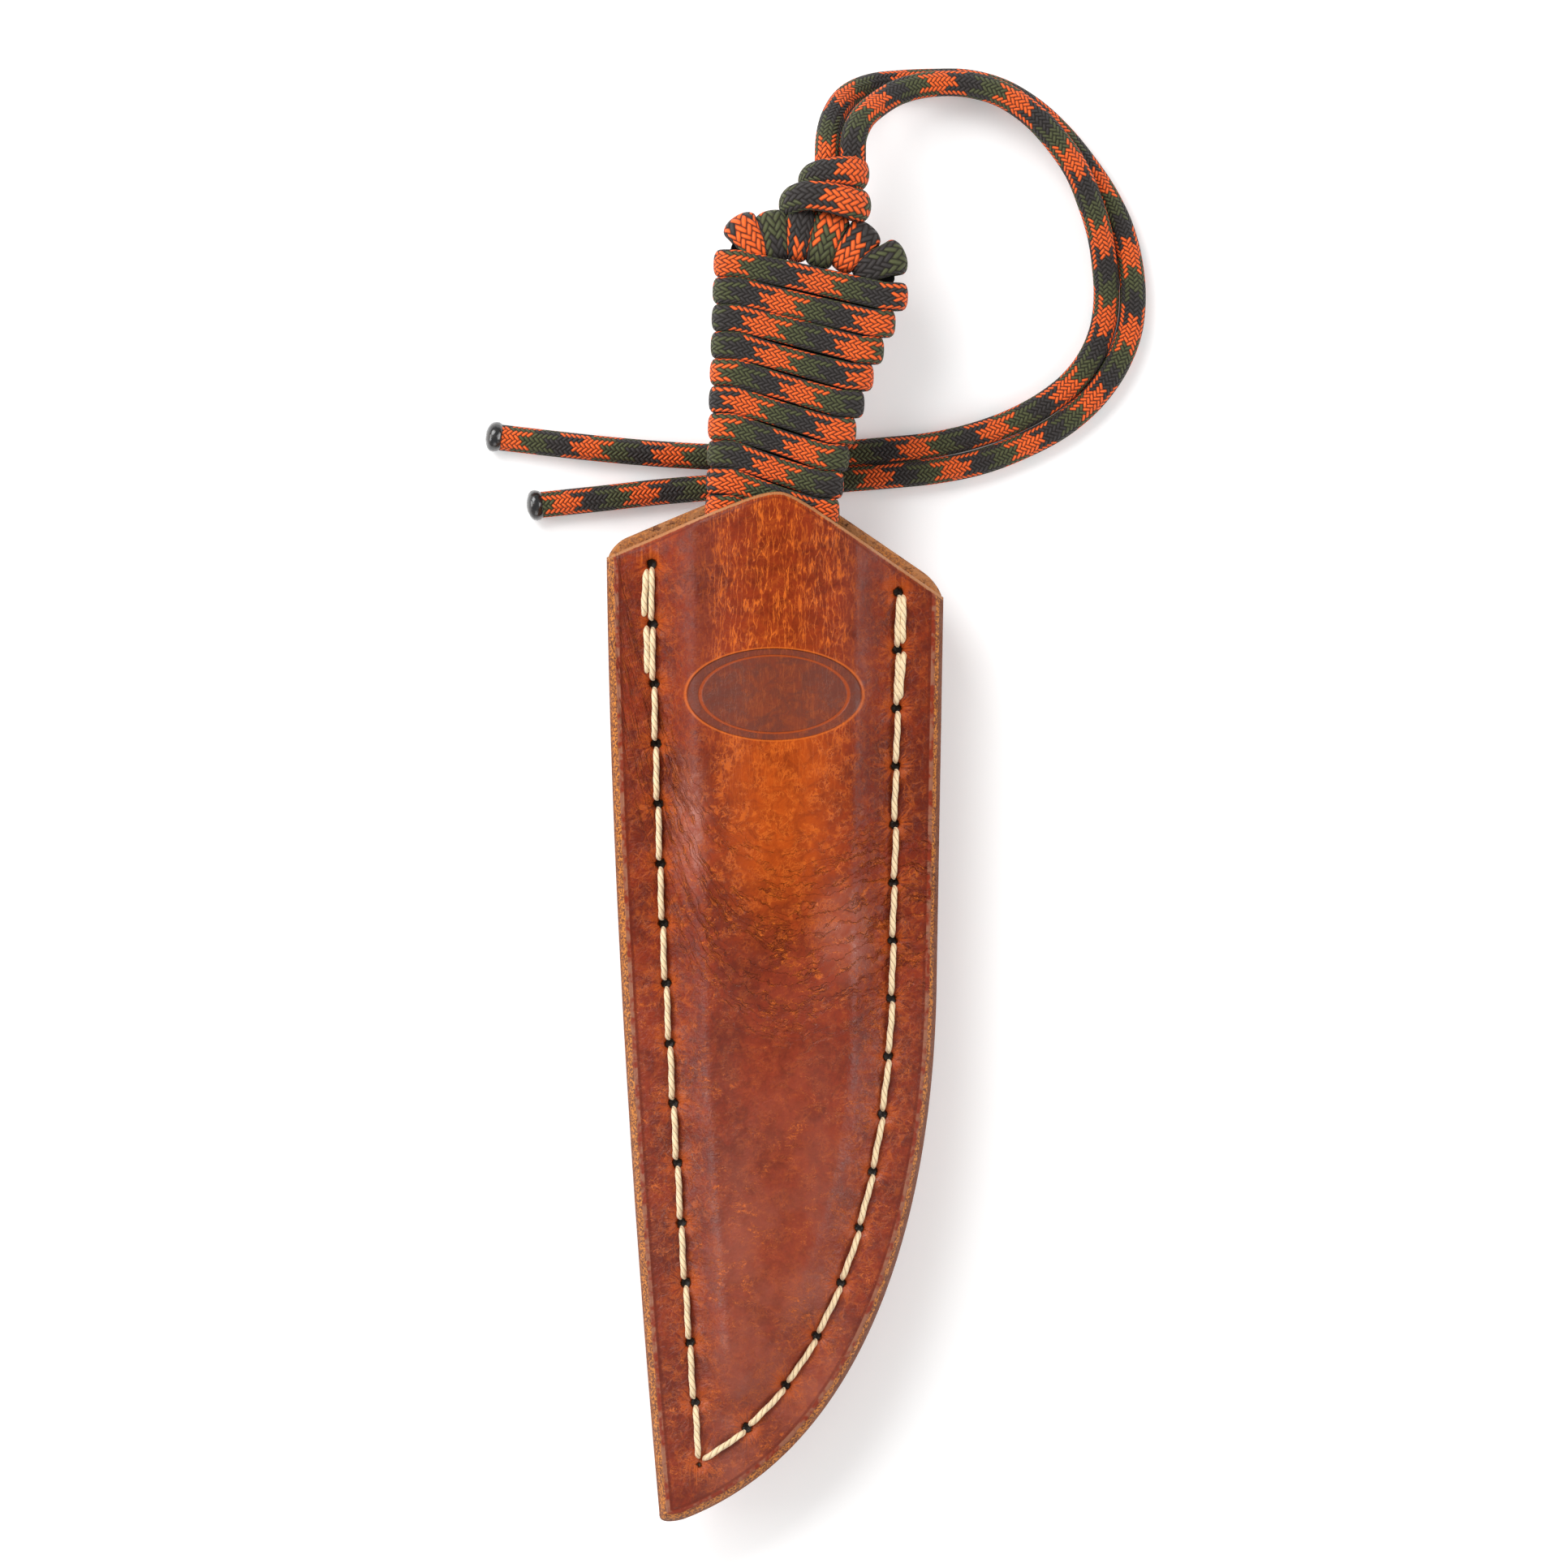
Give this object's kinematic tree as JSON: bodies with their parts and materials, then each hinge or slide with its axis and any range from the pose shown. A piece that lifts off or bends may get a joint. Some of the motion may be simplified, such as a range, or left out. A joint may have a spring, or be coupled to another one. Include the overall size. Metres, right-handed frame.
{
  "type": "belt knife with sheath",
  "caption": "Fixed-blade knife with a cord-wrapped handle and a lanyard, in a stitched leather pouch sheath.",
  "frame": {"origin": "on the outer face of the belt loop, at the middle of the sheath's width, half way from the toe to the top of the knot", "axes": "+Y from the toe of the sheath to the butt of the knife, +Z out of the front panel, +X to the right seen from the front"},
  "size_m": [0.0998, 0.2187, 0.0207],
  "materials": {
    "sheath_leather": "waxed pull-up leather, satin",
    "raw_leather": "raw cut edge",
    "sewing_thread": "waxed twisted thread",
    "blade_steel": "satin ground",
    "braided_cord": "three-colour braided sleeve",
    "melted_end": "melted nylon"
  },
  "bodies": {
    "sheath": {"sheath_front": "sheath_leather", "sheath_back": "sheath_leather", "spine_welt": "raw_leather", "edge_welt": "raw_leather", "seam_thread_a": "sewing_thread", "seam_thread_b": "sewing_thread", "lock_stitches": "sewing_thread", "belt_loop": "sheath_leather", "belt_loop_thread": "sewing_thread"},
    "knife": {"blade": "blade_steel", "handle_wrap": "braided_cord", "ring_wrap": "braided_cord", "lanyard_knot": "braided_cord", "lanyard_cord_a": "braided_cord", "lanyard_cord_b": "braided_cord", "cord_tip_a": "melted_end", "cord_tip_b": "melted_end"}
  },
  "joints": [
    {"name": "knife_draw", "type": "slide", "parent": "sheath", "child": "knife", "axis": [0.0349, 0.9994, 0], "range_m": [0, 0.15]}
  ]
}
